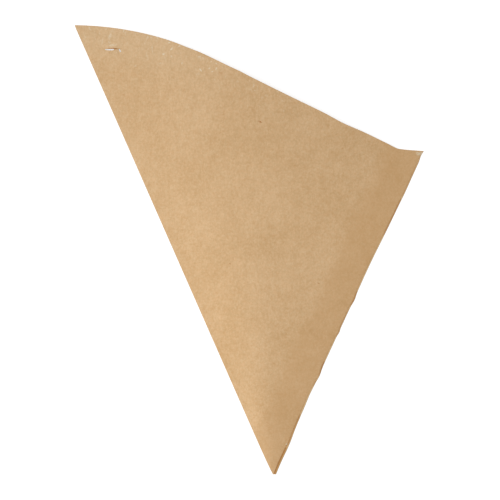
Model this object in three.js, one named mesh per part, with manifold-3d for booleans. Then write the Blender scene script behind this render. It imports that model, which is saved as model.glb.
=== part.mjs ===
// A pointed paper bag, lying flat on its back ply with its mouth a little open.
// It is one sheet of brown paper. The sheet is folded down the long edge, its glue flap is
// folded in along the other edge and glued under the front ply, and one sweeping cut makes
// the mouth. A slit near the tall corner goes through both plies.
// Millimetres and degrees. +Y runs from the tip to the tall corner, and +Z is up.
import * as THREE from "three";
import { mergeVertices } from "three/addons/utils/BufferGeometryUtils.js";
import Module from "manifold-3d";

const wasm = await Module();
wasm.setup();

// The sheet
const paper = 0.1;
const foldGap = 0.3; // clear height inside a pressed fold
const gape = 10; // how far the open mouth lifts the front ply

// The outline, seen from above
const foldLength = 267.9; // folded edge, from tip to tall corner
const foldLean = 23.74; // how far it leans left of +Y
const seamLength = 194.85; // glued edge, from tip to ear
const seamLean = 25.13; // how far it leans right of +Y
const seamBow = 1.25; // how far the glued edge curves in, a third of the way up
const tipWidth = 2.1; // blunt end of the tip
const sweepRadius = 171.3; // round shoulder of the mouth
const sweepStartAngle = 0.33; // how far the shoulder already falls at the tall corner
const earLength = 14.2; // short flat cut beside the glued edge
const earFall = 5.3; // how far that cut falls to the right

// The glue flap and the bottom of the pocket
const flapWidth = 20;
const flapShare = 0.5; // most of the width that the flap takes up near the tip
const setbackAtTip = 1.4; // flap left bare outside the front ply's cut edge
const setbackAtMouth = 0.6;
const cutSlope = 0.05; // run of a one-ply step
const gluedTip = 8; // stretch above the tip that is glued shut

// The slit, from the tall corner
const slitAcross = 16.3;
const slitDown = 13.2;
const slitLength = 8.4;
const slitOpening = 1;
const slitOpenShare = 0.62; // share of the slit that stands open
const slitPinch = 0.25; // width of the rest
const nickDrop = 1.8; // short leg at the slit's right end
const nickRun = 1;
const slitRoom = 4; // how far the cutting prism passes the plies

// Facets
const rows = 22;
const backSteps = 14;
const roundSteps = 4;
const bandSteps = 6;
const frontSteps = 30;

const rightAngle = 90;
const rad = THREE.MathUtils.degToRad;
const lerp = THREE.MathUtils.lerp;

// Heights of the layers where the bag is pressed flat
const backTop = paper;
const flapUnder = backTop + foldGap;
const flapTop = flapUnder + paper;
const frontTop = flapTop + paper;

// A direction at an angle to the right of +Y
const heading = (degrees) => new THREE.Vector2(Math.sin(rad(degrees)), Math.cos(rad(degrees)));

const tallCorner = heading(-foldLean).multiplyScalar(foldLength);
const earCorner = heading(seamLean).multiplyScalar(seamLength);
const fromFold = heading(rightAngle - foldLean);
const fromSeam = heading(seamLean - rightAngle);
const tipLeft = new THREE.Vector2(0, 0);
const tipRight = heading(rightAngle - earFall).multiplyScalar(tipWidth);

// The mouth: a round shoulder from the tall corner, the straight that leaves it smoothly,
// and the ear's flat cut
function makeMouth() {
  const kink = earCorner.clone().sub(heading(rightAngle + earFall).multiplyScalar(earLength));
  const centre = tallCorner.clone().sub(heading(sweepStartAngle).multiplyScalar(sweepRadius));
  const toKink = kink.clone().sub(centre);
  const sweepEnd = Math.atan2(toKink.x, toKink.y) - Math.acos(sweepRadius / toKink.length());
  const from = Math.PI / 2 - rad(sweepStartAngle);
  const to = Math.PI / 2 - sweepEnd;
  const path = new THREE.Path();
  path.absarc(centre.x, centre.y, sweepRadius, from, to, true);
  path.lineTo(kink.x, kink.y);
  path.lineTo(earCorner.x, earCorner.y);
  return path;
}

const mouth = makeMouth();
const kinkShare = 1 - earLength / mouth.getLength();

// The curve of the glued edge: 0 at both of its ends and 1 a third of the way up
const bowShape = (up) => (27 / 4) * up * (1 - up) ** 2;

// A point of the flat bag. across runs from the fold (0) to the glued edge (1), and up from
// the tip (0) to the mouth (1). The plies end where the rounds of the folds begin.
const foldRound = frontTop / 2;
const seamRound = flapTop / 2;
function flatPoint(across, up) {
  const low = tipLeft.clone().lerp(tipRight, across);
  const point = low.lerp(mouth.getPoint(across), up);
  const bow = seamBow * bowShape(up) * across ** 8;
  point.addScaledVector(fromSeam, bow + seamRound * across);
  return point.addScaledVector(fromFold, foldRound * (1 - across));
}

// How far across the bag a line lies that runs at a given depth beside the glued edge
function acrossAtDepth(depth, up) {
  const edge = flatPoint(1, up);
  let near = 1;
  let far = 0;
  for (let i = 0; i < 30; i++) {
    const middle = (near + far) / 2;
    const reached = flatPoint(middle, up).sub(edge).dot(fromSeam);
    if (reached < depth) near = middle;
    else far = middle;
  }
  return (near + far) / 2;
}

// The front ply rises as a cone about the tip, so that it stays a bent flat sheet
const lift = (across, up) => gape * up * Math.sin(Math.PI * across);

function plyPoint(across, up, level, lifted) {
  const p = flatPoint(across, up);
  return new THREE.Vector3(p.x, p.y, level + (lifted ? lift(across, up) : 0));
}

// Half turn of a fold from a low level to a high one, seen along the fold
function foldPoints(across, up, out, low, high, reach) {
  const p = flatPoint(across, up);
  const radius = (high - low) / 2;
  return Array.from({ length: roundSteps - 1 }, (_, i) => {
    const turn = (Math.PI * (i + 1)) / roundSteps;
    const away = out.clone().multiplyScalar(-reach * Math.sin(turn));
    return new THREE.Vector3(p.x + away.x, p.y + away.y, low + radius * (1 - Math.cos(turn)));
  });
}

const spread = (from, to, steps) =>
  Array.from({ length: steps + 1 }, (_, i) => lerp(from, to, i / steps));

// One section of the bag at a height up it: the outside and the inside of the paper, point
// for point, from the fold along the back ply, round the glued edge and back over the front
function section(up) {
  const halfWidth = flatPoint(0, up).distanceTo(flatPoint(1, up)) * flapShare;
  const setback = Math.min(lerp(setbackAtTip, setbackAtMouth, up), halfWidth / 2);
  const flap = Math.min(flapWidth, halfWidth);
  const cut = acrossAtDepth(setback, up);
  const cutFoot = acrossAtDepth(setback - cutSlope, up);
  const flapEnd = acrossAtDepth(flap, up);
  const flapFoot = acrossAtDepth(flap - cutSlope, up);
  const outer = [];
  const inner = [];
  const add = (across, outLevel, inLevel, lifted) => {
    outer.push(plyPoint(across, up, outLevel, lifted));
    inner.push(plyPoint(across, up, inLevel, lifted));
  };
  const back = [...spread(0, kinkShare, backSteps), 1];
  back.forEach((across) => add(across, 0, backTop, false));
  outer.push(...foldPoints(1, up, fromSeam, 0, flapTop, seamRound));
  inner.push(...foldPoints(1, up, fromSeam, backTop, flapUnder, seamRound - paper));
  add(1, flapTop, flapUnder, true);
  add(cutFoot, flapTop, flapUnder, true);
  spread(cut, flapFoot, bandSteps).forEach((across) => add(across, frontTop, flapUnder, true));
  spread(flapEnd, 0, frontSteps).forEach((across) => add(across, frontTop, flapTop, true));
  outer.push(...foldPoints(0, up, fromFold, 0, frontTop, foldRound).reverse());
  inner.push(...foldPoints(0, up, fromFold, backTop, flapTop, foldRound - paper).reverse());
  return { outer, inner };
}

// The closed skin of the sheet, from the sections
function makeSheet() {
  const vertices = [];
  const faces = [];
  const place = (points) => points.map((p) => vertices.push(p) - 1);
  const wall = (lower, upper, outward) => {
    lower.forEach((a, i) => {
      const next = (i + 1) % lower.length;
      const corners = [a, upper[i], upper[next], lower[next]];
      if (!outward) corners.reverse();
      const [p, q, r, s] = corners;
      faces.push(p, q, r, p, r, s);
    });
  };
  const cap = (loop, outward) => {
    const middle = new THREE.Vector3();
    loop.forEach((i) => middle.add(vertices[i]));
    const [hub] = place([middle.divideScalar(loop.length)]);
    loop.forEach((a, i) => {
      const b = loop[(i + 1) % loop.length];
      faces.push(hub, ...(outward ? [a, b] : [b, a]));
    });
  };
  const outside = spread(0, 1, rows).map((up) => place(section(up).outer));
  const inside = spread(gluedTip / foldLength, 1, rows).map((up) => place(section(up).inner));
  for (let i = 0; i < rows; i++) {
    wall(outside[i], outside[i + 1], true);
    wall(inside[i], inside[i + 1], false);
  }
  wall(outside[rows], inside[rows], true);
  cap(outside[0], true);
  cap(inside[0], false);
  const geometry = new THREE.BufferGeometry().setFromPoints(vertices);
  return geometry.setIndex(faces);
}

// The prism that cuts the slit: open over its left part, pinched over the rest, with a nick
// turning down at its right end
function makeSlitPrism() {
  const open = slitLength * slitOpenShare;
  const shape = new THREE.Shape();
  shape.moveTo(0, 0);
  shape.quadraticCurveTo(open / 2, slitOpening, open, slitPinch);
  shape.lineTo(slitLength, slitPinch);
  shape.lineTo(slitLength + nickRun, -nickDrop);
  shape.lineTo(slitLength - slitPinch, 0);
  shape.lineTo(open, 0);
  shape.quadraticCurveTo(open / 2, -slitOpening, 0, 0);
  const depth = frontTop + gape + slitRoom;
  const prism = new THREE.ExtrudeGeometry(shape, { depth, bevelEnabled: false, curveSegments: 8 });
  return prism.translate(tallCorner.x + slitAcross, tallCorner.y - slitDown, -slitRoom / 2);
}

function toSolid(geometry) {
  const bare = geometry.clone();
  bare.deleteAttribute("normal");
  bare.deleteAttribute("uv");
  const merged = mergeVertices(bare);
  return new wasm.Manifold(
    new wasm.Mesh({
      numProp: 3,
      vertProperties: merged.attributes.position.array,
      triVerts: new Uint32Array(merged.index.array),
    }),
  );
}

function toGeometry(solid) {
  const mesh = solid.getMesh();
  const geometry = new THREE.BufferGeometry();
  geometry.setAttribute("position", new THREE.BufferAttribute(mesh.vertProperties, 3));
  geometry.setIndex(new THREE.BufferAttribute(mesh.triVerts, 1));
  geometry.computeVertexNormals();
  return geometry;
}

const bagGeometry = toGeometry(toSolid(makeSheet()).subtract(toSolid(makeSlitPrism())));

// The origin is under the middle of the bag, on the surface that it lies on
bagGeometry.computeBoundingBox();
const middle = bagGeometry.boundingBox.getCenter(new THREE.Vector3());
bagGeometry.translate(-middle.x, -middle.y, 0);

const brownPaper = new THREE.MeshStandardMaterial({ color: "#cca97e", roughness: 0.8, metalness: 0 });
const bag = new THREE.Mesh(bagGeometry, brownPaper);
bag.name = "paper_cone_bag";

const model = new THREE.Group();
model.add(bag);

export default model;
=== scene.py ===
import math

import bpy
import numpy as np
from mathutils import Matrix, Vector


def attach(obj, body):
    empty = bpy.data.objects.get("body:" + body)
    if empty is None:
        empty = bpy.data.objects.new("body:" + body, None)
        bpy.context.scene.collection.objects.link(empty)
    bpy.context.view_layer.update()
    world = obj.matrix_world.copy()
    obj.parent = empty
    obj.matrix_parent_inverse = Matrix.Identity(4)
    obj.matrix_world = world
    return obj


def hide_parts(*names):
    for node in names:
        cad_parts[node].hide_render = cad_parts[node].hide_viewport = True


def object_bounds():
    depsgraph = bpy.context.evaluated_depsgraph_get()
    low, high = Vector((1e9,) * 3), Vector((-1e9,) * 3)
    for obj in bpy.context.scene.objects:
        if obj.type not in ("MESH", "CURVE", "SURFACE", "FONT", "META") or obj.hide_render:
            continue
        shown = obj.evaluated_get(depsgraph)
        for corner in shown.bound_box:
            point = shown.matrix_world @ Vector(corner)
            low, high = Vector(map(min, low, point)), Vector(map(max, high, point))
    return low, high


bl_info = {
    "name": "Pointed Paper Bag",
    "version": (1, 0, 0),
    "blender": (4, 5, 0),
    "location": "3D View > Sidebar > Paper Bag",
    "description": "Folds a flat pointed bag of brown paper and sets a plain stage for it",
    "category": "Add Mesh",
}

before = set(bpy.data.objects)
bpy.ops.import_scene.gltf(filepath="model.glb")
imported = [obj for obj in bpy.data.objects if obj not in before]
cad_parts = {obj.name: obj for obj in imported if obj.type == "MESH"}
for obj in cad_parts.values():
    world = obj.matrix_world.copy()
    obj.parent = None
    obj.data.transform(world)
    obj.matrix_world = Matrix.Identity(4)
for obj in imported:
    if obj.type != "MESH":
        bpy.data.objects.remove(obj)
CAD_LOW, CAD_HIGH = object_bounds()
BAG_NODE = "paper_cone_bag"
MM = 0.001


def number(name, description, default, **kind):
    return bpy.props.FloatProperty(name=name, description=description, default=default, **kind)


def length(name, description, default):
    return number(name, description, default, subtype="DISTANCE", unit="LENGTH", precision=5)


def angle(name, description, degrees):
    return number(name, description, math.radians(degrees), subtype="ANGLE", unit="ROTATION")


def colour(name, description, default):
    return bpy.props.FloatVectorProperty(
        name=name, description=description, default=default,
        size=3, min=0.0, max=1.0, subtype="COLOR",
    )


class BagSizes(bpy.types.PropertyGroup):
    """Sizes of the folded bag, close to those of the solid that it stands for"""

    paper: length("Paper", "Thickness of the sheet", 0.1 * MM)
    fold_gap: length("Fold Gap", "Clear height inside a pressed fold", 0.3 * MM)
    gape: length("Gape", "How far the open mouth lifts the front ply", 9.8 * MM)
    fold_length: length("Folded Edge", "From the tip to the tall corner", 267.9 * MM)
    fold_lean: angle("Folded Edge Lean", "How far the folded edge leans left", 23.74)
    seam_length: length("Glued Edge", "From the tip to the ear", 194.85 * MM)
    seam_lean: angle("Glued Edge Lean", "How far the glued edge leans right", 25.13)
    seam_bow: length("Glued Edge Bow", "How far it curves in, a third of the way up", 1.25 * MM)
    tip_width: length("Tip", "Width of the blunt tip", 2.1 * MM)
    sweep_radius: length("Shoulder", "Radius of the mouth's round shoulder", 171.3 * MM)
    sweep_start: angle("Shoulder Start", "How far the shoulder falls at the tall corner", 0.33)
    ear_length: length("Ear", "Length of the flat cut beside the glued edge", 14.2 * MM)
    ear_fall: angle("Ear Fall", "How far that cut falls to the right", 5.3)
    flap_width: length("Glue Flap", "Width of the flap under the front ply", 20 * MM)
    setback_tip: length("Setback at Tip", "Bare flap outside the cut edge at the tip", 1.3 * MM)
    setback_mouth: length("Setback Above", "Bare flap outside the cut edge above that", 0.65 * MM)
    glued_tip: length("Glued Tip", "Stretch above the tip that is glued shut", 8 * MM)
    slit_across: length("Slit Across", "From the tall corner to the slit, to the right", 16.3 * MM)
    slit_down: length("Slit Down", "From the tall corner to the slit, down", 13.2 * MM)
    slit_length: length("Slit Length", "Length of the slit in the front ply", 8.4 * MM)
    lip_rise: length("Slit Lip", "How far the slit's upper lip stands up", 0.7 * MM)
    cockle: length("Cockle", "Height of the paper's own unevenness", 0.12 * MM)


class PaperLooks(bpy.types.PropertyGroup):
    """Colours and finish of the paper, some of them also carrying painted shade and highlights"""

    # Also painted shade: the dark marks use this colour for the shade of shallow dents
    dark_mottle_and_painted_shade: colour("Dark Mottle", "Colour of the paper's darker fibres", (0.490, 0.291, 0.120))
    pale: colour("Pale Mottle", "Colour of the paper's paler fibres", (0.678, 0.461, 0.261))
    # Painted shade: the band over the glue flap takes this colour for the shade where the front
    # ply slopes down over it
    flap: colour("Flap Below", "Front ply where the flap shows through it", (0.520, 0.300, 0.125))
    # Also painted shade: the dark line at the cut edge's step and the slit's marks use this colour
    glue_and_painted_shade: colour("Glue Line", "Paper soaked by glue beside the cut edge", (0.375, 0.155, 0.036))
    strip: colour("Bare Flap", "Flap outside the front ply's cut edge", (0.700, 0.490, 0.250))
    soaked: colour("Soaked Flap", "The same where glue soaked it", (0.510, 0.280, 0.090))
    # Also painted highlight: the curled ear and the slit's raised lip use this colour
    scuff_and_painted_highlight: colour("Scuff", "Rubbed and torn fibres", (0.690, 0.590, 0.420))
    # Also painted shade: the slit's upper rim and a short crease use this colour
    stain_and_painted_shade: colour("Stain", "Brown specks and the browned rim of the cuts", (0.440, 0.215, 0.068))
    roughness: number("Roughness", "Mean roughness", 0.62, min=0.0, max=1.0)


class StageLooks(bpy.types.PropertyGroup):
    """Floor, light and camera"""

    floor: colour("Floor", "Colour of the floor", (0.55, 0.55, 0.55))
    floor_glow: number("Floor White", "White added to the floor in the picture", 0.65)
    sky: number("Sky", "Strength of the even light", 0.5)
    key: number("Key", "Strength of the soft main light", 1.95)
    lens: number("Lens", "Focal length in millimetres", 600.0)
    picture: length("Picture Width", "Width that the picture covers", 272.7 * MM)


def heading(lean):
    """Unit vector that leans right of +Y by an angle."""
    return np.array([math.sin(lean), math.cos(lean)])


def waver(places, bumps):
    """Sum of soft bumps, each with its place, half width and height, at given places."""
    return sum(height * np.exp(-(((places - at) / width) ** 2)) for at, width, height in bumps)


class BagShape:
    """The bag's outline, folds and layers, worked out from its sizes."""

    EDGE_SHARE = 8  # how steeply the edges' own turns die out across the bag
    MOUTH_SHARE = 12  # how steeply the cut's waver dies out below the mouth
    FLAP_SHARE = 0.5  # most of the width that the flap takes up near the tip
    CUT_SLOPE = 0.05 * MM  # run of a one-ply step
    KINK_ROUND = 1.0 * MM  # half the run over which the mouth's kink is rounded
    TIP_HOOK = 0.45 * MM  # how far the folded edge turns in at the very tip
    TIP_HOOK_UP = 0.025  # share of its length over which that dies out
    CORNER_HOOK = 0.20 * MM  # the same at the tall corner
    CORNER_HOOK_UP = 0.008
    BOW_PEAK = 27 / 4  # makes the bow's curve reach 1 a third of the way up
    CALM_TIP = 0.02  # share above the tip over which the glued edge's waver grows
    STEP_UP = 0.088  # where the cut edge steps outwards
    STEP_RUN = 0.006  # how long the step is
    STEP_SHARE = 0.55  # share of the wide strip that is left just above the step
    STRIP_UP = 0.30  # where the last of the wide strip ends
    HALVINGS = 26  # of the search for a place across the bag
    # Stretches of the cut edge where glue shows, with painted shade at its step: start, end
    # (millimetres from the tip), strength
    GLUE = (
        (0, 17, 1.0), (17, 36, 0.65), (53, 57, 0.35), (60, 68, 0.85),
        (83, 100, 0.4), (102, 110, 0.7), (144, 166, 0.65), (168, 186, 0.35),
    )
    GLUE_ELSEWHERE = 0.06
    GLUE_FADE = 2  # millimetres over which a stretch begins and ends
    # Waver of the mouth's cut: place along the mouth, half width and height
    MOUTH_WAVER = (
        (0.05, 0.450, -0.12 * MM), (0.10, 0.150, -0.20 * MM), (0.306, 0.030, -0.24 * MM),
        (0.40, 0.200, -0.32 * MM), (0.46, 0.022, 0.20 * MM), (0.62, 0.110, -0.30 * MM),
        (0.770, 0.044, -0.66 * MM), (0.955, 0.030, -0.20 * MM),
    )
    # Waver and nicks of the glued edge: place up it, half width and height outwards
    SEAM_WAVER = (
        (0.985, 0.012, -0.40 * MM), (0.875, 0.030, 0.16 * MM), (0.650, 0.090, -0.40 * MM),
        (0.538, 0.016, 0.45 * MM), (0.437, 0.009, 0.36 * MM), (0.303, 0.018, 0.50 * MM),
        (0.240, 0.022, -0.20 * MM), (0.092, 0.040, 0.50 * MM),
    )

    def __init__(self, sizes):
        self.s = sizes
        right = math.pi / 2
        self.from_fold = heading(right - sizes.fold_lean)
        self.from_seam = heading(sizes.seam_lean - right)
        self.tall = heading(-sizes.fold_lean) * sizes.fold_length
        self.ear = heading(sizes.seam_lean) * sizes.seam_length
        self.kink = self.ear - heading(right + sizes.ear_fall) * sizes.ear_length
        self.centre = self.tall - heading(sizes.sweep_start) * sizes.sweep_radius
        to_kink = self.kink - self.centre
        reach = np.linalg.norm(to_kink)
        self.sweep_end = math.atan2(*to_kink) - math.acos(sizes.sweep_radius / reach)
        self.join = self.centre + heading(self.sweep_end) * sizes.sweep_radius
        self.arc = sizes.sweep_radius * (self.sweep_end - sizes.sweep_start)
        self.straight = np.linalg.norm(self.kink - self.join)
        self.mouth_length = self.arc + self.straight + sizes.ear_length
        self.tip_right = heading(right - sizes.ear_fall) * sizes.tip_width
        self.back_top = sizes.paper
        self.flap_under = self.back_top + sizes.fold_gap
        self.flap_top = self.flap_under + sizes.paper
        self.front_top = self.flap_top + sizes.paper
        self.fold_round = self.front_top / 2
        self.seam_round = self.flap_top / 2
        self.shift = np.array([CAD_LOW[0] - self.tall[0], CAD_LOW[1]])
        self.slit = self.tall + np.array([sizes.slit_across, -sizes.slit_down])

    def mouth(self, across):
        """Points along the mouth, from the tall corner (0) to the ear (1), and their waver."""
        run = across * self.mouth_length
        spread = np.minimum(self.KINK_ROUND, np.minimum(run, self.mouth_length - run))
        shares = (-1, -0.5, 0, 0.5, 1)
        points = sum(self.mouth_at(run + spread * share) for share in shares) / len(shares)
        return points, waver(across, self.MOUTH_WAVER)

    def mouth_at(self, run):
        """Points of the sharp mouth: its round shoulder, its straight and the ear."""
        turn = self.s.sweep_start + np.minimum(run, self.arc) / self.s.sweep_radius
        points = self.centre + np.stack([np.sin(turn), np.cos(turn)], -1) * self.s.sweep_radius
        straight = np.clip(run - self.arc, 0, self.straight)[:, None]
        points = points + straight * (self.kink - self.join) / self.straight
        ear = np.clip(run - self.arc - self.straight, 0, None)[:, None]
        return points + ear * (self.ear - self.kink) / self.s.ear_length

    def seam_shift(self, up):
        """How far the glued edge lies inside its straight line."""
        bow = self.s.seam_bow * self.BOW_PEAK * up * (1 - up) ** 2
        return bow - waver(up, self.SEAM_WAVER) * min(1.0, up / self.CALM_TIP)

    def flat(self, across, up):
        """Points of the flat bag, across it (0 fold, 1 glued edge) at a height up it (0 to 1)."""
        across = np.asarray(across, float)
        mouth, rise = self.mouth(across)
        low = across[:, None] * self.tip_right
        points = low + (mouth - low) * up
        points[:, 1] += rise * up ** self.MOUTH_SHARE
        bow = self.seam_shift(up) * across ** self.EDGE_SHARE
        points += (bow + self.seam_round * across)[:, None] * self.from_seam
        left = 1 - across
        hook = self.TIP_HOOK * math.exp(-up / self.TIP_HOOK_UP)
        corner = self.CORNER_HOOK * math.exp((up - 1) / self.CORNER_HOOK_UP)
        turned_in = (self.fold_round + hook) * left + corner * left ** self.EDGE_SHARE
        return points + turned_in[:, None] * self.from_fold

    def across_at(self, depths, up):
        """How far across the bag lines lie that run at depths beside the glued edge."""
        depths = np.asarray(depths, float)
        edge = self.flat([1.0], up)
        near, far = np.ones(len(depths)), np.zeros(len(depths))
        for _ in range(self.HALVINGS):
            middle = (near + far) / 2
            reached = (self.flat(middle, up) - edge) @ self.from_seam
            near = np.where(reached < depths, middle, near)
            far = np.where(reached < depths, far, middle)
        return (near + far) / 2

    def lift(self, across, up):
        """How far the front ply rises, as a cone about the tip."""
        return self.s.gape * up * np.sin(math.pi * across)

    def on_front(self, across, up):
        """Points on the front ply's outside, in the frame's own place."""
        height = self.front_top + self.lift(across, up)
        return np.column_stack([self.flat(across, up) + self.shift, height])

    def setback(self, up):
        """Width of the bare flap outside the cut edge, which steps outwards above the tip."""
        above = up - self.STEP_UP
        past = min(max(above / self.STEP_RUN, 0.0), 1.0)
        left = self.STEP_SHARE * max(0.0, 1 - above / (self.STRIP_UP - self.STEP_UP))
        wide, narrow = self.s.setback_tip, self.s.setback_mouth
        return wide + (narrow - wide) * past * (1 - min(left, 1.0))


class Unevenness:
    """Shallow waves that the sheet keeps from its roll, and the raised lip of the slit."""

    SEED = 11
    COUNT = 14
    SHORTEST, LONGEST = 9 * MM, 45 * MM
    CALM_EDGE = 0.5  # power by which the waves die out at both edges
    CALM_TIP = 0.1  # share above the tip over which they grow
    LIP_POWER = 0.7  # power by which the lip dies out at the slit's ends
    UPPER_LIP, LOWER_LIP = 0.26, 0.2  # reach of the lips, in slit lengths
    LOWER_SHARE = 0.25  # height of the lower lip against the upper one

    def __init__(self, shape):
        self.shape = shape
        draw = np.random.default_rng(self.SEED)
        turn = draw.uniform(0, math.pi, self.COUNT)
        wave = draw.uniform(self.SHORTEST, self.LONGEST, self.COUNT)
        self.wave = np.stack([np.cos(turn), np.sin(turn)], -1) * (2 * math.pi / wave)[:, None]
        self.phase = draw.uniform(0, 2 * math.pi, self.COUNT)
        self.height = wave / wave.max() / math.sqrt(self.COUNT)

    def rise(self, points, across, up):
        """How far points of the front ply stand above its smooth cone."""
        s = self.shape.s
        waves = np.sin(points @ self.wave.T + self.phase) @ self.height
        calm = np.sin(math.pi * np.clip(across, 0, 1)) ** self.CALM_EDGE
        calm = calm * min(1.0, up / self.CALM_TIP)
        along, above = ((points - self.shape.slit) / s.slit_length).T
        bulge = np.sin(math.pi * np.clip(along, 0, 1)) ** self.LIP_POWER
        upper = np.exp(-((above / self.UPPER_LIP) ** 2)) * (above >= 0)
        lower = self.LOWER_SHARE * np.exp(-((above / self.LOWER_LIP) ** 2)) * (above < 0)
        return s.cockle * waves * calm + s.lip_rise * bulge * (upper + lower)


def fold_round_points(point, out, low, high, reach, steps):
    """Half turn of a fold from a low level to a high one."""
    turn = np.pi * np.arange(1, steps) / steps
    plan = point[None] - out * (reach * np.sin(turn))[:, None]
    rise = low + (high - low) / 2 * (1 - np.cos(turn))
    return np.column_stack([plan, rise])


# Points along each stretch of a section, and sections up the bag
COUNTS = {"back": 72, "ear": 10, "round": 6, "strip": 3, "band": 26, "front": 120}
LOW_SECTIONS, HIGH_SECTIONS, INSIDE_SECTIONS = 150, 71, 60
FINER_ABOVE = 0.84  # the outside has closer sections from here to the mouth


def bag_section(shape, uneven, up):
    """One section: the outside and the inside of the paper, point for point round the bag."""
    ends = shape.flat([0.0, 1.0], up)
    half = np.linalg.norm(ends[1] - ends[0]) * shape.FLAP_SHARE
    setback = min(shape.setback(up), half / 2)
    flap = min(shape.s.flap_width, half)
    depths = [setback, setback - shape.CUT_SLOPE, flap, flap - shape.CUT_SLOPE]
    cut, cut_foot, flap_end, flap_foot = shape.across_at(depths, up)
    kink = 1 - shape.s.ear_length / shape.mouth_length
    back = np.linspace(0, kink, COUNTS["back"] + 1)
    ear = np.linspace(kink, 1, COUNTS["ear"] + 1)[1:]
    strip = np.linspace(1, cut_foot, COUNTS["strip"] + 1)
    band = np.linspace(cut, flap_foot, COUNTS["band"] + 1)
    front = np.linspace(flap_end, 0, COUNTS["front"] + 1)
    outer, inner = [], []

    def add(across, out_level, in_level, lifted):
        plan = shape.flat(across, up)
        rise = np.zeros(len(across))
        if lifted:
            rise = shape.lift(across, up) + uneven.rise(plan, across, up)
        outer.append(np.column_stack([plan, out_level + rise]))
        inner.append(np.column_stack([plan, in_level + rise]))

    def add_fold(end, out, top, under, reach, order):
        paper, steps = shape.s.paper, COUNTS["round"]
        outside = fold_round_points(end, out, 0, top, reach, steps)
        inside = fold_round_points(end, out, shape.back_top, under, reach - paper, steps)
        outer.append(outside[::order])
        inner.append(inside[::order])

    add(np.append(back, ear), 0.0, shape.back_top, False)
    add_fold(ends[1], shape.from_seam, shape.flap_top, shape.flap_under, shape.seam_round, 1)
    add(strip, shape.flap_top, shape.flap_under, True)
    add(band, shape.front_top, shape.flap_under, True)
    add(front, shape.front_top, shape.flap_top, True)
    add_fold(ends[0], shape.from_fold, shape.front_top, shape.flap_top, shape.fold_round, -1)
    return np.concatenate(outer), np.concatenate(inner)


def bag_mesh(shape, uneven):
    """The closed skin of the folded sheet, without its slit."""
    low_rows = np.linspace(0, FINER_ABOVE, LOW_SECTIONS)
    high_rows = np.linspace(FINER_ABOVE, 1, HIGH_SECTIONS)[1:]
    inside_rows = np.linspace(shape.s.glued_tip / shape.s.fold_length, 1, INSIDE_SECTIONS)
    outside = [bag_section(shape, uneven, up)[0] for up in (*low_rows, *high_rows)]
    inside = [bag_section(shape, uneven, up)[1] for up in inside_rows]
    loop = len(outside[0])
    points = np.concatenate(outside + inside)
    points[:, :2] += shape.shift
    points = np.clip(points, CAD_LOW, CAD_HIGH)
    faces = []
    around = np.arange(loop)
    after = (around + 1) % loop

    def wall(lower, upper, outward):
        quads = np.stack([lower + around, upper + around, upper + after, lower + after], -1)
        faces.extend((quads if outward else quads[:, ::-1]).tolist())

    def cap(start_at, hub, outward):
        fan = np.stack([np.full(loop, hub), start_at + around, start_at + after], -1)
        faces.extend((fan if outward else fan[:, ::-1]).tolist())

    for i in range(len(outside) - 1):
        wall(i * loop, (i + 1) * loop, True)
    first_inside = len(outside) * loop
    for i in range(len(inside) - 1):
        wall(first_inside + i * loop, first_inside + (i + 1) * loop, False)
    wall(first_inside - loop, len(points) - loop, True)
    hubs = np.stack([points[:loop].mean(0), points[first_inside:first_inside + loop].mean(0)])
    cap(0, len(points), True)
    cap(first_inside, len(points) + 1, False)
    mesh = bpy.data.meshes.new("folded_sheet")
    mesh.from_pydata(np.concatenate([points, hubs]).tolist(), [], faces)
    mesh.validate()
    return mesh


def link_piece(name, mesh):
    piece = bpy.data.objects.new(name, mesh)
    bpy.context.scene.collection.objects.link(piece)
    return piece


def prism(name, outline, low, high):
    """A closed prism over an outline that runs anticlockwise."""
    count = len(outline)
    verts = [(*p, low) for p in outline] + [(*p, high) for p in outline]
    faces = [tuple(range(count))[::-1], tuple(range(count, 2 * count))]
    for i in range(count):
        after = (i + 1) % count
        faces.append((i, after, count + after, count + i))
    mesh = bpy.data.meshes.new(name)
    mesh.from_pydata(verts, [], faces)
    return link_piece(name, mesh)


# Outlines of the slit, from its left end, in slit lengths
FRONT_CUT = (
    (0.03, -0.020), (0.10, -0.054), (0.20, -0.070), (0.32, -0.077), (0.48, -0.076),
    (0.59, -0.066), (0.635, -0.028), (0.65, 0.002), (0.97, 0.005), (0.98, 0.013),
    (0.60, 0.010), (0.30, 0.008), (0.08, -0.004),
)
BACK_CUT = (
    (-0.09, -0.04), (-0.02, -0.14), (0.60, -0.14), (0.66, -0.03), (0.63, 0.09), (-0.04, 0.09),
)
NICK_CUT = (
    (0.930, 0.0), (0.980, -0.09), (1.025, -0.195), (1.09, -0.175), (1.055, -0.07), (0.99, 0.010),
)
BETWEEN_PLIES, ABOVE_BAG = 1.6 * MM, 12 * MM  # heights at which the cutting prisms end


def slit_cutters(shape):
    """Prisms for the slit: the front ply's cut, the hole in the back ply, and the nick."""
    at = shape.slit + shape.shift
    run = shape.s.slit_length
    cuts = (
        ("front_cut", FRONT_CUT, BETWEEN_PLIES, ABOVE_BAG),
        ("back_cut", BACK_CUT, -BETWEEN_PLIES, BETWEEN_PLIES),
        ("nick_cut", NICK_CUT, -BETWEEN_PLIES, ABOVE_BAG),
    )
    return [prism(name, np.array(cut) * run + at, low, high) for name, cut, low, high in cuts]


def cut_away(piece, cutters):
    """Cuts closed prisms out of a piece, applies the cuts and removes the prisms."""
    for cutter in cutters:
        cut = piece.modifiers.new(cutter.name, "BOOLEAN")
        cut.operation = "DIFFERENCE"
        cut.solver = "MANIFOLD"
        cut.object = cutter
    evaluated = piece.evaluated_get(bpy.context.evaluated_depsgraph_get())
    mesh = bpy.data.meshes.new_from_object(evaluated)
    piece.modifiers.clear()
    piece.data = mesh
    for cutter in cutters:
        bpy.data.meshes.remove(cutter.data)


def smooth(values, low, high):
    """Smooth step from 0 to 1 as values go from low to high."""
    share = np.clip((values - low) / (high - low), 0, 1)
    return share * share * (3 - 2 * share)


# Painted light: the paper is made darker at the mouth and paler deep down and towards the fold,
# for how the light falls over the bag
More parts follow.
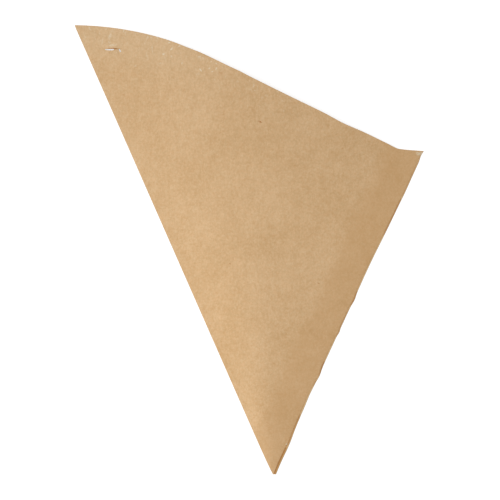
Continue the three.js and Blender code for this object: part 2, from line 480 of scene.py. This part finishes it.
MOUTH_TONE, MOUTH_FADE = 0.955, 70 * MM  # brightness at the mouth, and where it has faded
DEEP_FROM, DEEP_TO, DEEP_GAIN = 40 * MM, 150 * MM, 0.012  # depth below the mouth, and its gain
FOLD_FROM, FOLD_TO = 0.08, 0.54  # shares of the angle from the folded to the glued edge
FOLD_GAIN, FOLD_DEEP_GAIN = 0.035, 0.085  # gain beside the fold, everywhere and deep down


def painted_light_tone(shape, plan, below):
    """Painted light: broad change of the paper's brightness, paler to the fold and away from the
    mouth, for how the light falls over the arched bag.
    """
    lean = np.arctan2(plan[:, 0], plan[:, 1])
    share = (lean + shape.s.fold_lean) / (shape.s.fold_lean + shape.s.seam_lean)
    fold_side = 1 - smooth(share, FOLD_FROM, FOLD_TO)
    deep = smooth(below, DEEP_FROM, DEEP_TO)
    rest = MOUTH_TONE + (1 - MOUTH_TONE) * smooth(below, 0, MOUTH_FADE) + DEEP_GAIN * deep
    return rest * (1 + fold_side * (FOLD_GAIN + FOLD_DEEP_GAIN * deep))


def store(mesh, name, values):
    """Stores one number for each point of a mesh."""
    layer = mesh.attributes.new(name, "FLOAT", "POINT")
    layer.data.foreach_set("value", values.astype(np.float32))


EDGE_SAMPLES, RIM_SAMPLES = 241, 401  # places at which the glued edge and the mouth are measured
FRONT_SIDE_FROM = 0.9  # share of the flap's height above which a point is on the front


def write_edge_places(piece, shape):
    """Stores where each point lies beside the glued edge and below the mouth, in millimetres."""
    mesh = piece.data
    count = len(mesh.vertices)
    places = np.empty(count * 3)
    mesh.vertices.foreach_get("co", places)
    places = places.reshape(-1, 3)
    plan = places[:, :2] - shape.shift

    ups = np.linspace(0, 1, EDGE_SAMPLES)
    seam = np.concatenate([shape.flat([1.0], up) for up in ups])
    seam = seam - shape.from_seam * shape.seam_round
    cut = np.array([shape.setback(up) for up in ups])
    along_way = heading(shape.s.seam_lean)
    run = plan @ along_way
    seam_run = seam @ along_way
    inward = plan @ shape.from_seam - np.interp(run, seam_run, seam @ shape.from_seam)
    depth = inward - np.interp(run, seam_run, cut)

    rim = shape.flat(np.linspace(0, 1, RIM_SAMPLES), 1.0)
    below = np.interp(plan[:, 0], rim[:, 0], rim[:, 1]) - plan[:, 1]
    front = places[:, 2] > shape.flap_top * FRONT_SIDE_FROM
    glue_and_painted_shade = np.full(count, shape.GLUE_ELSEWHERE)
    for start, end, strength in shape.GLUE:
        inside = np.minimum(run / MM - start, end - run / MM) / shape.GLUE_FADE + 0.5
        glue_and_painted_shade = np.maximum(glue_and_painted_shade, np.clip(inside, 0, 1) * strength)

    # The tone stored here is painted light, not the paper's own colour
    store(mesh, "tone", painted_light_tone(shape, plan, below))
    store(mesh, "seam_depth", depth / MM)
    store(mesh, "seam_run", run / MM)
    store(mesh, "mouth_depth", below / MM)
    store(mesh, "front_side", front)
    store(mesh, "glue_and_painted_shade", glue_and_painted_shade)


class Nodes:
    """Short calls to build a node tree."""

    # Places of a Mix node's colour sockets
    MIX_SHARE, MIX_FIRST, MIX_SECOND, MIX_RESULT = 0, 6, 7, 2

    def __init__(self, tree):
        self.tree = tree

    def add(self, kind, settings=None, **inputs):
        made = self.tree.nodes.new(kind)
        for key, value in (settings or {}).items():
            setattr(made, key, value)
        for key, value in inputs.items():
            self.feed(made.inputs[key.replace("_", " ")], value)
        return made

    def feed(self, socket, value):
        if isinstance(value, bpy.types.NodeSocket):
            self.tree.links.new(value, socket)
        else:
            socket.default_value = value

    def sum(self, operation, *values, clamp=False):
        made = self.tree.nodes.new("ShaderNodeMath")
        made.operation = operation
        made.use_clamp = clamp
        for socket, value in zip(made.inputs, values):
            self.feed(socket, value)
        return made.outputs[0]

    def product(self, first, *others):
        for other in others:
            first = self.sum("MULTIPLY", first, other)
        return first

    def steps(self, value, low, high, start=0.0, end=1.0):
        """Smooth step from start to end as value goes from low to high."""
        made = self.add("ShaderNodeMapRange", {"interpolation_type": "SMOOTHSTEP"})
        given = {"Value": value, "From Min": low, "From Max": high, "To Min": start, "To Max": end}
        for key, setting in given.items():
            self.feed(made.inputs[key], setting)
        return made.outputs["Result"]

    def noise(self, place, size, detail=2.0, roughness=0.5):
        """Noise whose features are about size metres across."""
        return self.add("ShaderNodeTexNoise", {}, Vector=place, Scale=1 / size,
                        Detail=detail, Roughness=roughness).outputs["Fac"]

    def stretch(self, place, scale, turn):
        """A place turned and squeezed, so that noise on it runs one way."""
        made = self.add("ShaderNodeMapping", {}, Vector=place, Scale=scale, Rotation=(0, 0, turn))
        return made.outputs["Vector"]

    def blend(self, share, first, second, kind="MIX"):
        """Two colours blended by a share; each is a socket or a plain colour."""
        made = self.tree.nodes.new("ShaderNodeMix")
        made.data_type = "RGBA"
        made.blend_type = kind
        self.feed(made.inputs[self.MIX_SHARE], share)
        for index, layer in ((self.MIX_FIRST, first), (self.MIX_SECOND, second)):
            is_socket = isinstance(layer, bpy.types.NodeSocket)
            self.feed(made.inputs[index], layer if is_socket else (*layer, 1))
        return made.outputs[self.MIX_RESULT]

    def value_of(self, name):
        return self.add("ShaderNodeAttribute", {"attribute_name": name}).outputs["Fac"]

    def oval(self, place, centre, long, wide, lean):
        """1 inside an oval spot that leans left of +X, fading to 0 at its edge."""
        made = self.add("ShaderNodeMapping", {"vector_type": "TEXTURE"}, Vector=place,
                        Location=(*centre, 0), Rotation=(0, 0, math.radians(lean)),
                        Scale=(long, wide, 1))
        away = self.add("ShaderNodeVectorMath", {"operation": "LENGTH"})
        self.feed(away.inputs[0], made.outputs[0])
        return self.steps(away.outputs["Value"], 0.25, 1.0, start=1.0, end=0.0)


def new_material(name):
    material = bpy.data.materials.new(name)
    material.use_nodes = True
    material.node_tree.nodes.clear()
    return material, Nodes(material.node_tree)


# Single marks on the front ply, painted shade and highlights among them, in millimetres from the
# tip: place, half length, half width, lean, look and strength
MARKS = (
    (-88.4, 238.9, 2.5, 1.3, 70, "scuff_and_painted_highlight", 0.50), (-80.9, 242.0, 1.3, 0.52, 80, "scuff_and_painted_highlight", 0.44),
    (-68.0, 238.2, 1.7, 0.65, 60, "scuff_and_painted_highlight", 0.50), (-65.9, 238.2, 0.91, 0.65, 0, "scuff_and_painted_highlight", 0.44),
    (-54.8, 232.1, 1.6, 0.59, 55, "scuff_and_painted_highlight", 0.75), (-59.1, 229.4, 1.2, 0.78, 20, "scuff_and_painted_highlight", 0.69),
    (-54.8, 228.0, 0.78, 0.52, 60, "scuff_and_painted_highlight", 0.56), (-61.1, 224.2, 0.91, 0.52, 30, "scuff_and_painted_highlight", 0.60),
    (-49.2, 224.2, 1, 0.45, 70, "scuff_and_painted_highlight", 0.56), (-39.0, 220.6, 1.6, 0.52, 120, "scuff_and_painted_highlight", 0.69),
    (-34.2, 221.5, 1.2, 0.65, 40, "scuff_and_painted_highlight", 0.69), (-30.4, 223.9, 1, 0.52, 150, "scuff_and_painted_highlight", 0.62),
    (-30.4, 221.3, 1.2, 0.52, 60, "scuff_and_painted_highlight", 0.50), (-39.7, 227.8, 1.3, 0.59, 20, "scuff_and_painted_highlight", 0.44),
    (-74.5, 222.8, 1, 0.65, 10, "scuff_and_painted_highlight", 0.38), (-10.0, 212.2, 1.6, 0.65, 80, "scuff_and_painted_highlight", 0.44),
    (-28.4, 218.7, 1.8, 1.6, 0, "stain_and_painted_shade", 0.35), (-81.0, 207.2, 1.1, 0.84, 0, "stain_and_painted_shade", 0.38),
    (-54.8, 209.5, 2.2, 1.7, 0, "stain_and_painted_shade", 0.15), (-26.3, 196.5, 0.96, 0.72, 30, "stain_and_painted_shade", 0.44),
    (-45.8, 206.5, 1.1, 0.84, 0, "stain_and_painted_shade", 0.20), (38.2, 177.9, 0.96, 0.6, 20, "stain_and_painted_shade", 0.38),
    (39.8, 158.8, 0.96, 0.6, 80, "stain_and_painted_shade", 0.38), (-6.8, 192.4, 1.8, 0.55, -18, "glue_and_painted_shade", 0.90),
    # The stain at (-2.4, 28.3) is painted shade of a short crease; the scuff at (80.6, 175.2) is a
    # painted highlight where the ear curls up
    (-2.4, 28.3, 1.4, 0.36, 150, "stain_and_painted_shade", 0.31), (80.6, 175.2, 3.2, 1.5, 0, "scuff_and_painted_highlight", 0.60),
    # The long scuff at (-87.2, 234.1) is stretched fibres and also a painted highlight where the
    # slit's raised lip catches the light
    (8.0, 16.5, 0.85, 0.52, 30, "scuff_and_painted_highlight", 0.88), (-87.2, 234.1, 4, 0.98, 8, "scuff_and_painted_highlight", 0.38),
    (-56.2, 235.5, 1.2, 0.55, 10, "scuff_and_painted_highlight", 0.60), (-50.7, 233.6, 1.0, 0.55, 20, "scuff_and_painted_highlight", 0.60),
    (-33.3, 225.1, 0.9, 0.55, 60, "scuff_and_painted_highlight", 0.60), (-32.6, 219.6, 1.0, 0.50, 30, "scuff_and_painted_highlight", 0.50),
    # The dark marks on these lines are painted shade of shallow dents over the flap
    (-9.5, 209.5, 0.7, 0.5, 0, "scuff_and_painted_highlight", 0.60), (38.7, 93.8, 4.4, 2.4, -30, "dark_mottle_and_painted_shade", 0.40),
    (31.9, 75.7, 3.8, 2.0, -35, "dark_mottle_and_painted_shade", 0.40), (21.3, 78.6, 3.0, 1.7, 60, "dark_mottle_and_painted_shade", 0.35),
    (24.3, 87.1, 2.8, 1.7, -20, "dark_mottle_and_painted_shade", 0.30), (69.4, 161.4, 4.4, 2.4, 60, "dark_mottle_and_painted_shade", 0.35),
    (7.9, 144.4, 0.55, 0.45, 0, "stain_and_painted_shade", 0.80), (-23.0, 115.0, 0.60, 0.45, 20, "stain_and_painted_shade", 0.80),
    (-24.9, 113.2, 0.50, 0.40, 45, "stain_and_painted_shade", 0.45), (25.3, 104.4, 1.4, 0.40, -38, "stain_and_painted_shade", 0.60),
)
# Painted shade along the slit's upper rim and at the end of its opening, where the lip's underside
# and the back ply's inside lie in shadow, in slit lengths
SLIT_PAINTED_SHADE = (
    (0.54, 0.036, 0.54, 0.062, 0, "stain_and_painted_shade", 1.0), (0.67, -0.015, 0.10, 0.055, 75, "glue_and_painted_shade", 1.0),
    (0.64, 0.034, 0.36, 0.055, 0, "glue_and_painted_shade", 0.9),
)
RAGGED = 0.9 * MM  # how far the edges of the marks stray
# Mottle of the paper: size, detail, roughness, and weight in the tone
MOTTLE = {
    "clouds": (28 * MM, 3.0, 0.55, 0.27), "small": (4.5 * MM, 3.0, 0.6, 0.25),
    "grain": (1.2 * MM, 2.0, 0.7, 0.44), "fibre": (3.0 * MM, 3.0, 0.7, 0.24),
}
# Squeeze and turn of what runs one way over the sheet
FIBRE_WAY = ((4.5, 1.0, 1.0), 0.35)
FLECK_WAY = ((2.2, 1.0, 1.0), 1.1)
STREAK_WAY = ((2.6, 1.0, 1.0), 0.6)
RED_TINT, GREEN_TINT = (1.009, 0.985, 0.960), (0.991, 1.015, 1.030)
ROUGH_SPREAD = 0.18  # how far the roughness ranges over the sheet


def add_marks(n, base, place, front, looks, shape):
    """Lays the single marks over a colour, painted shade and highlights among them, those away
    from the slit with ragged edges.
    """
    strays = n.add("ShaderNodeTexNoise", {}, Vector=place, Scale=900.0, Detail=3.0)
    ragged = n.add("ShaderNodeVectorMath", {"operation": "MULTIPLY_ADD"})
    n.feed(ragged.inputs[0], strays.outputs["Color"])
    n.feed(ragged.inputs[1], (RAGGED, RAGGED, 0))
    n.feed(ragged.inputs[2], place)
    centred = n.add("ShaderNodeVectorMath", {"operation": "SUBTRACT"})
    n.feed(centred.inputs[0], ragged.outputs[0])
    n.feed(centred.inputs[1], (RAGGED / 2, RAGGED / 2, 0))
    torn = n.steps(n.noise(place, 0.8 * MM, 2.0, 0.7), 0.40, 0.60, start=0.45, end=1.35)
    slit = shape.slit + shape.shift
    for marks, start, unit, where in (
        (MARKS, shape.shift, MM, centred.outputs[0]),
        (SLIT_PAINTED_SHADE, slit, shape.s.slit_length, place),
    ):
        for x, y, long, wide, lean, look, strength in marks:
            centre = (start[0] + x * unit, start[1] + y * unit)
            oval = n.oval(where, centre, long * unit, wide * unit, lean)
            share = n.sum("MULTIPLY", n.product(oval, torn, front), strength, clamp=True)
            base = n.blend(share, base, getattr(looks, look))
    return base


def paper_material(looks, shape):
    """Machine-glazed brown paper: soft mottle, fine fibres, flecks, scuffs and the glued edge,
    with painted light and shade laid over them.
    """
    material, n = new_material("Brown Paper")
    place = n.add("ShaderNodeTexCoord").outputs["Object"]
    seam_depth = n.value_of("seam_depth")
    mouth_depth = n.value_of("mouth_depth")
    front = n.value_of("front_side")
    glue_and_painted_shade = n.value_of("glue_and_painted_shade")

    # Mottle: broad clouds, small clouds, grain and single fibres
    layers = {}
    tone = 0.0
    for name, (size, detail, roughness, weight) in MOTTLE.items():
        where = n.stretch(place, *FIBRE_WAY) if name == "fibre" else place
        layers[name] = n.noise(where, size, detail, roughness)
        tone = n.sum("MULTIPLY_ADD", layers[name], weight, tone)
    base = n.blend(n.steps(tone, 0.30, 0.90), looks.dark_mottle_and_painted_shade, looks.pale)

    # Brown flecks of bark
    flecks = n.noise(n.stretch(place, *FLECK_WAY), 1.1 * MM, 2.0, 0.6)
    base = n.blend(n.steps(flecks, 0.60, 0.68, end=0.22), base, looks.stain_and_painted_shade)

    # Its fibres lean to red or to green by turns
    hue = n.steps(n.noise(place, 1.5 * MM, 3.0, 0.65), 0.30, 0.70)
    base = n.blend(1.0, base, n.blend(hue, RED_TINT, GREEN_TINT), "MULTIPLY")

    # Painted light: the sheet is made a little paler away from the mouth and towards its fold,
    # where the light falls more fully
    base = n.add("ShaderNodeHueSaturation", {}, Color=base, Value=n.value_of("tone")).outputs[0]

    # Painted shade: a darker band with an uneven edge over the glue flap, for the shade where the
    # front ply slopes down over it away from the light
    uneven = n.sum("MULTIPLY_ADD", n.noise(place, 14 * MM), 9.0, seam_depth)
    base = n.blend(n.steps(uneven, 18.0, 27.0, start=0.38, end=0.0), base, looks.flap)

    # Worn paper and fine pale streaks below the mouth, most of them near the tall corner
    near_tall = n.steps(seam_depth, 90.0, 165.0)
    worn = n.product(n.steps(mouth_depth, 4.0, 26.0, start=0.10, end=0.0), near_tall)
    streaks = n.noise(n.stretch(place, *STREAK_WAY), 3.4 * MM, 3.0, 0.6)
    streaks = n.product(
        n.steps(streaks, 0.58, 0.72),
        n.steps(mouth_depth, 3.0, 24.0, start=0.36, end=0.0),
        n.steps(seam_depth, 30.0, 90.0),
    )
    base = n.blend(n.product(n.sum("ADD", worn, streaks), front), base, looks.scuff_and_painted_highlight)
    base = add_marks(n, base, place, front, looks, shape)

    # The rim of the mouth is browner in patches along its last half millimetre
    rim = n.steps(mouth_depth, 0.05, 0.5, start=0.36, end=0.0)
    rim = n.product(rim, n.steps(layers["small"], 0.35, 0.55, start=0.4))
    base = n.blend(rim, base, looks.stain_and_painted_shade)

    # The flap lies bare beside the cut edge, and glue soaked both in stretches
    bare = n.product(
        n.steps(seam_depth, -0.35, -0.1, start=1.0, end=0.0), front, 0.85,
        n.steps(n.value_of("seam_run"), 184.0, 189.0, start=1.0, end=0.0),
    )
    base = n.blend(bare, base, n.blend(glue_and_painted_shade, looks.strip, looks.soaked))
    # The dark line along the cut edge is glue-soaked paper and also painted shade of the recess
    # where the front ply's edge steps down to the flap
    beside_line = n.sum("ABSOLUTE", n.sum("ADD", seam_depth, 0.22))
    line = n.steps(beside_line, 0.12, 0.46, start=1.0, end=0.0)
    patchy = n.steps(n.noise(place, 5 * MM), 0.30, 0.55, start=0.65)
    base = n.blend(n.product(line, glue_and_painted_shade, front, patchy), base, looks.glue_and_painted_shade)

    lowest = looks.roughness - ROUGH_SPREAD / 2
    rough = n.sum("MULTIPLY_ADD", layers["small"], ROUGH_SPREAD, lowest)
    height = n.sum("MULTIPLY_ADD", layers["fibre"], 0.6, n.product(layers["grain"], 0.6))
    bump = n.add("ShaderNodeBump", {}, Strength=0.35, Distance=0.05 * MM, Height=height)
    shader = n.add("ShaderNodeBsdfPrincipled", {}, Base_Color=base, Roughness=rough,
                   Normal=bump.outputs[0])
    shader.inputs["Specular IOR Level"].default_value = 0.35
    n.feed(n.add("ShaderNodeOutputMaterial").inputs["Surface"], shader.outputs[0])
    return material


# What the fuzz takes in: name, kind and usual value
FUZZ_INPUTS = (
    ("Spacing", "NodeSocketFloat", 1.6 * MM), ("Fibre Length", "NodeSocketFloat", 0.7 * MM),
    ("Fibre Radius", "NodeSocketFloat", 0.02 * MM), ("Seed", "NodeSocketInt", 3),
)
FIBRE_BEND = (("Middle", (0.1, 0.0, 0.55)), ("End", (0.45, 0.1, 1.0)))  # in fibre lengths
TURN_FROM, TURN_TO = (-1.9, -0.5, -3.1), (-1.0, 0.5, 3.1)
SIZE_FROM, SIZE_TO = 0.3, 1.0
# The fibres' tone of 1.06 is the painted light's brightness
FIBRE_LOOKS = (("tone", 1.06), ("mouth_depth", 60.0), ("seam_depth", 60.0))


def fuzz_tree(material):
    """Loose fibres that stand out of a cut edge, along a guide line."""
    tree = bpy.data.node_groups.new("Cut Edge Fuzz", "GeometryNodeTree")
    face = tree.interface
    face.new_socket("Geometry", in_out="INPUT", socket_type="NodeSocketGeometry")
    face.new_socket("Geometry", in_out="OUTPUT", socket_type="NodeSocketGeometry")
    for name, kind, value in FUZZ_INPUTS:
        face.new_socket(name, in_out="INPUT", socket_type=kind).default_value = value
    n = Nodes(tree)
    given = tree.nodes.new("NodeGroupInput").outputs
    result = tree.nodes.new("NodeGroupOutput")
    line = n.add("GeometryNodeMeshToCurve", {}, Mesh=given["Geometry"]).outputs[0]
    spaced = n.add("GeometryNodeResampleCurve", {"mode": "LENGTH"}, Curve=line,
                   Length=given["Spacing"]).outputs[0]

    arc = n.add("GeometryNodeCurveQuadraticBezier", {}, Resolution=4)
    n.feed(arc.inputs["Start"], (0, 0, 0))
    for socket, way in FIBRE_BEND:
        reach = n.add("ShaderNodeVectorMath", {"operation": "SCALE"})
        n.feed(reach.inputs[0], way)
        n.feed(reach.inputs["Scale"], given["Fibre Length"])
        n.feed(arc.inputs[socket], reach.outputs[0])
    ring = n.add("GeometryNodeCurvePrimitiveCircle", {}, Resolution=4,
                 Radius=given["Fibre Radius"]).outputs[0]
    fibre = n.add("GeometryNodeCurveToMesh", {}, Curve=arc.outputs[0], Profile_Curve=ring,
                  Fill_Caps=True).outputs[0]

    turn = n.add("FunctionNodeRandomValue", {"data_type": "FLOAT_VECTOR"}, Seed=given["Seed"])
    n.feed(turn.inputs[0], TURN_FROM)
    n.feed(turn.inputs[1], TURN_TO)
    size = n.add("FunctionNodeRandomValue", {"data_type": "FLOAT"}, Seed=given["Seed"])
    n.feed(size.inputs[2], SIZE_FROM)
    n.feed(size.inputs[3], SIZE_TO)
    placed = n.add("GeometryNodeInstanceOnPoints", {}, Points=spaced, Instance=fibre)
    n.feed(placed.inputs["Rotation"], turn.outputs[0])
    n.feed(placed.inputs["Scale"], size.outputs[1])
    solid = n.add("GeometryNodeRealizeInstances", {}, Geometry=placed.outputs[0]).outputs[0]
    finished = n.add("GeometryNodeSetMaterial", {}, Geometry=solid, Material=material).outputs[0]
    n.feed(result.inputs[0], finished)
    return tree


def guide_line(name, points):
    mesh = bpy.data.meshes.new(name)
    mesh.from_pydata([tuple(p) for p in points], [(i, i + 1) for i in range(len(points) - 1)], [])
    return link_piece(name, mesh)


def grow(guide, tree, inputs, name):
    """Runs a node tree on a guide and keeps the result as a plain mesh."""
    modifier = guide.modifiers.new(tree.name, "NODES")
    modifier.node_group = tree
    given = [item for item in tree.interface.items_tree if item.in_out == "INPUT"]
    sockets = {item.name: item.identifier for item in given}
    for key, value in inputs.items():
        modifier[sockets[key]] = value
    evaluated = guide.evaluated_get(bpy.context.evaluated_depsgraph_get())
    mesh = bpy.data.meshes.new_from_object(evaluated)
    guide.modifiers.clear()
    bpy.data.objects.remove(guide)
    return link_piece(name, mesh)


def mark_fibres(piece):
    """Stores that loose fibres take the painted light's brightness of plain paper, far from the
    glue and from the browned rim.
    """
    for name, value in FIBRE_LOOKS:
        store(piece.data, name, np.full(len(piece.data.vertices), value))


def finish_piece(piece, material=None):
    """Gives a piece its finish and its place in the frame's one body."""
    if material:
        piece.data.materials.clear()
        piece.data.materials.append(material)
    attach(piece, "root")


class BAG_OT_fold(bpy.types.Operator):
    """Fold the bag from one sheet, glue its edge and cut its mouth and slit"""

    bl_idname = "paper_bag.fold"
    bl_label = "Fold the Bag"

    def execute(self, context):
        shape = BagShape(context.scene.bag_sizes)
        piece = link_piece("paper_bag", bag_mesh(shape, Unevenness(shape)))
        cut_away(piece, slit_cutters(shape))
        if len(piece.data.polygons) == 0:
            raise RuntimeError("the slit cut the whole bag away")
        write_edge_places(piece, shape)
        piece.data.shade_smooth()
        piece.data.set_sharp_from_angle(angle=math.radians(40))
        finish_piece(piece, paper_material(context.scene.paper_looks, shape))
        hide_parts(BAG_NODE)
        return {"FINISHED"}


class BAG_OT_fuzz(bpy.types.Operator):
    """Raise loose fibres along the cut edges of the mouth and of the front ply"""

    bl_idname = "paper_bag.fuzz"
    bl_label = "Raise the Fuzz"

    GUIDE_POINTS = 160
    MOUTH_RANGE = (0.16, 0.985)  # how far across the bag the mouth's fibres reach
    EDGE_RANGE = (0.03, 0.97)  # how far up the bag those of the front ply's edge reach

    def execute(self, context):
        shape = BagShape(context.scene.bag_sizes)
        tree = fuzz_tree(bpy.data.materials["Brown Paper"])
        rim = shape.on_front(np.linspace(*self.MOUTH_RANGE, self.GUIDE_POINTS), 1.0)
        edge = []
        for up in np.linspace(*self.EDGE_RANGE, self.GUIDE_POINTS):
            edge.extend(shape.on_front(shape.across_at([shape.setback(up)], up), up))
        for name, line, spacing, seed in (
            ("mouth_fuzz", rim, 2.2 * MM, 5),
            ("seam_fuzz", edge, 1.4 * MM, 9),
        ):
            guide = guide_line(name + "_guide", line)
            piece = grow(guide, tree, {"Spacing": spacing, "Seed": seed}, name)
            mark_fibres(piece)
            finish_piece(piece)
        return {"FINISHED"}


def stage_material(looks):
    """Matt pale floor that looks white in the picture but keeps the bag's shadow."""
    material, n = new_material("Floor")
    matt = n.add("ShaderNodeBsdfDiffuse", {}, Color=(*looks.floor, 1))
    rays = n.add("ShaderNodeLightPath").outputs
    seen = rays["Is Camera Ray"]
    for kind in ("Is Glossy Ray", "Is Transmission Ray"):
        seen = n.sum("MAXIMUM", seen, rays[kind])
    glow = n.add("ShaderNodeEmission", {}, Strength=n.product(seen, looks.floor_glow))
    both = n.add("ShaderNodeAddShader")
    n.feed(both.inputs[0], matt.outputs[0])
    n.feed(both.inputs[1], glow.outputs[0])
    n.feed(n.add("ShaderNodeOutputMaterial").inputs["Surface"], both.outputs[0])
    return material


class BAG_OT_stage(bpy.types.Operator):
    """Set the floor, the lights and the camera that looks straight down"""

    bl_idname = "paper_bag.stage"
    bl_label = "Set the Stage"

    TIP_IN_PICTURE = (0.5443, 0.9494)  # from the picture's left and top
    FLOOR_SIZE = 12.0
    KEY_SPREAD = math.radians(45)
    KEY_TOWARDS = (0.68, -0.22, -1.0)
    SENSOR_WIDTH = 36.0
    VIEW_DEPTH = 20  # how far the camera sees, in heights above the floor

    def execute(self, context):
        looks = context.scene.stage_looks
        self.make_floor(looks)
        self.make_lights(context, looks)
        self.make_camera(context, looks)
        return {"FINISHED"}

    def make_floor(self, looks):
        half = self.FLOOR_SIZE / 2
        mesh = bpy.data.meshes.new("floor")
        corners = [(-half, -half), (half, -half), (half, half), (-half, half)]
        mesh.from_pydata([(*corner, CAD_LOW[2]) for corner in corners], [], [(0, 1, 2, 3)])
        mesh.materials.append(stage_material(looks))
        link_piece("floor", mesh)

    def make_lights(self, context, looks):
        world = bpy.data.worlds.new("Even Light")
        world.use_nodes = True
        background = world.node_tree.nodes["Background"].inputs
        background["Color"].default_value = (1, 1, 1, 1)
        background["Strength"].default_value = looks.sky
        context.scene.world = world
        key = bpy.data.lights.new("key", "SUN")
        key.energy = looks.key
        key.angle = self.KEY_SPREAD
        lamp = bpy.data.objects.new("key", key)
        lamp.rotation_mode = "QUATERNION"
        lamp.rotation_quaternion = Vector(self.KEY_TOWARDS).to_track_quat("-Z", "Y")
        context.scene.collection.objects.link(lamp)

    def make_camera(self, context, looks):
        data = bpy.data.cameras.new("camera")
        data.lens = looks.lens
        data.sensor_width = self.SENSOR_WIDTH
        width = looks.picture
        height = width * looks.lens / self.SENSOR_WIDTH
        data.clip_end = height * self.VIEW_DEPTH
        left, top = self.TIP_IN_PICTURE
        tip = BagShape(context.scene.bag_sizes).shift
        camera = bpy.data.objects.new("camera", data)
        camera.location = (tip[0] + (0.5 - left) * width, tip[1] + (top - 0.5) * width, height)
        context.scene.collection.objects.link(camera)
        context.scene.camera = camera
        context.scene.view_settings.view_transform = "Standard"


class BAG_PT_sidebar(bpy.types.Panel):
    """Sizes, colours and steps of the paper bag"""

    bl_label = "Paper Bag"
    bl_idname = "BAG_PT_sidebar"
    bl_space_type = "VIEW_3D"
    bl_region_type = "UI"
    bl_category = "Paper Bag"

    def draw(self, context):
        for step in OPERATORS:
            self.layout.operator(step.bl_idname)
        scene = context.scene
        for group in (scene.bag_sizes, scene.paper_looks, scene.stage_looks):
            box = self.layout.box()
            for key in group.__annotations__:
                box.prop(group, key)


OPERATORS = (BAG_OT_fold, BAG_OT_fuzz, BAG_OT_stage)
CLASSES = (BagSizes, PaperLooks, StageLooks, *OPERATORS, BAG_PT_sidebar)


def register():
    for item in CLASSES:
        bpy.utils.register_class(item)
    bpy.types.Scene.bag_sizes = bpy.props.PointerProperty(type=BagSizes)
    bpy.types.Scene.paper_looks = bpy.props.PointerProperty(type=PaperLooks)
    bpy.types.Scene.stage_looks = bpy.props.PointerProperty(type=StageLooks)


def unregister():
    del bpy.types.Scene.stage_looks
    del bpy.types.Scene.paper_looks
    del bpy.types.Scene.bag_sizes
    for item in reversed(CLASSES):
        bpy.utils.unregister_class(item)


def main():
    register()
    bpy.ops.paper_bag.fold()
    bpy.ops.paper_bag.fuzz()
    bpy.ops.paper_bag.stage()


if __name__ == "__main__":
    main()
